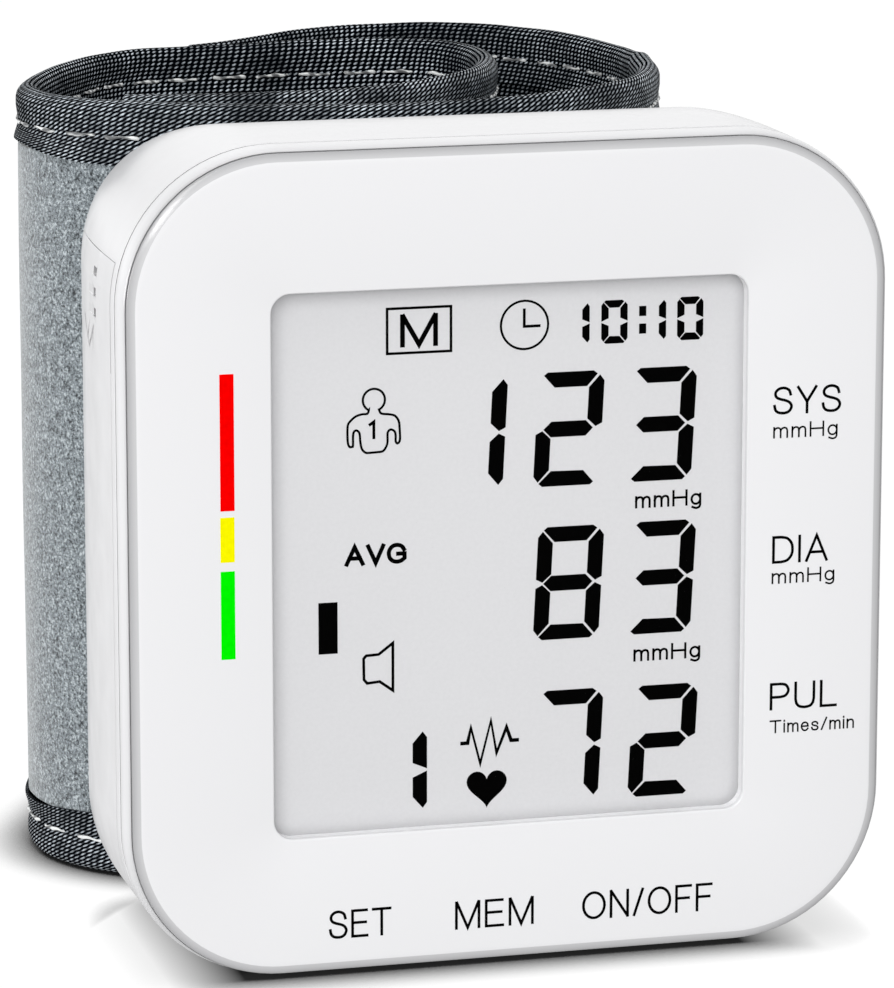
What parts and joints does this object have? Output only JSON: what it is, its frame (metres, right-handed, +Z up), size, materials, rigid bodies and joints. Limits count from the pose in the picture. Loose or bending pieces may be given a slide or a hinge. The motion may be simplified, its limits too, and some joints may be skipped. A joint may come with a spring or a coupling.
{
  "type": "wrist blood pressure monitor",
  "caption": "Wrist blood pressure monitor with a square rounded case, large display window, keys, side battery door and a rolled padded cuff behind it.",
  "frame": {"origin": "middle of the flat underside of the case, on the surface that it stands on", "axes": "+X to the right as the face is read, +Y away from the reader towards the cuff, +Z up"},
  "size_m": [0.0751, 0.0989, 0.08],
  "materials": {
    "case": "smooth white",
    "panel": "glossy white with print",
    "lens": "clear",
    "display": "pale grey liquid crystal",
    "inner_plastic": "moulded",
    "strip": "layered",
    "board": "solder mask",
    "chip": "moulded black",
    "key": "moulded",
    "steel": "plain",
    "nickel": "plated",
    "cell": "sleeve",
    "rubber": "moulded",
    "tube": "silicone",
    "loop": "grey loop fabric",
    "weave": "black woven nylon",
    "bladder": "film",
    "hook": "hook tape"
  },
  "bodies": {
    "housing": {"face_panel": "panel", "front_case": "case", "display_lens": "lens", "display_glass": "display", "display_frame": "inner_plastic", "conductive_strip": "strip", "main_board": "board", "controller_chip": "chip", "memory_chip": "chip", "buzzer": "chip", "pressure_sensor": "chip", "switch_set": "chip", "switch_memory": "chip", "switch_power": "chip", "rear_case": "case", "cell_1": "cell", "cell_2": "cell", "battery_spring_1": "steel", "battery_spring_2": "steel", "contact_bridge": "nickel", "contact_plate_1": "nickel", "contact_plate_2": "nickel", "case_screw_1": "steel", "case_screw_2": "steel", "case_screw_3": "steel", "case_screw_4": "steel", "board_screw_1": "steel", "board_screw_2": "steel", "pump_motor": "steel", "pump_head": "inner_plastic", "pump_diaphragm": "rubber", "pump_cover": "inner_plastic", "valve_body": "steel", "valve_spring": "steel", "air_manifold": "inner_plastic", "air_tube_valve": "tube", "air_tube_sensor": "tube", "air_tube_pump": "tube", "air_tube_cuff": "tube", "cuff_plate": "inner_plastic", "cuff_outer_fabric": "loop", "cuff_lining": "weave", "cuff_bladder": "bladder", "cuff_binding_top": "weave", "cuff_binding_bottom": "weave"},
    "set_key": {"key_set": "key", "switch_stem_set": "inner_plastic"},
    "memory_key": {"key_memory": "key", "switch_stem_memory": "inner_plastic"},
    "power_key": {"key_power": "key", "switch_stem_power": "inner_plastic"},
    "battery_door": {"battery_door": "case"},
    "cuff_tail": {"tail_outer_fabric": "loop", "tail_lining": "weave", "tail_binding_top": "weave", "tail_binding_bottom": "weave", "hook_patch": "hook"},
    "pump_crank": {"pump_shaft": "nickel"},
    "valve_core": {"valve_plunger": "nickel"}
  },
  "joints": [
    {"name": "set_key_press", "type": "slide", "parent": "housing", "child": "set_key", "axis": [0, 1, 0], "range_m": [0, 0.0004], "stiffness_N_per_m": 400},
    {"name": "memory_key_press", "type": "slide", "parent": "housing", "child": "memory_key", "axis": [0, 1, 0], "range_m": [0, 0.0004], "stiffness_N_per_m": 400},
    {"name": "power_key_press", "type": "slide", "parent": "housing", "child": "power_key", "axis": [0, 1, 0], "range_m": [0, 0.0004], "stiffness_N_per_m": 400},
    {"name": "battery_door_lift", "type": "slide", "parent": "housing", "child": "battery_door", "axis": [-1, 0, 0], "range_m": [0, 0.02]},
    {"name": "cuff_tail_open", "type": "hinge", "parent": "housing", "child": "cuff_tail", "pos_m": [0.033, 0.05185, 0.04], "axis": [0, 0, -1], "range_deg": [0, 100]},
    {"name": "pump_spin", "type": "hinge", "parent": "housing", "child": "pump_crank", "pos_m": [0.024, 0.00705, 0.036], "axis": [0, 0, 1], "continuous": true},
    {"name": "valve_lift", "type": "slide", "parent": "housing", "child": "valve_core", "axis": [0, 0, 1], "range_m": [0, 0.0006], "stiffness_N_per_m": 200, "deforming": ["valve_spring"]}
  ]
}
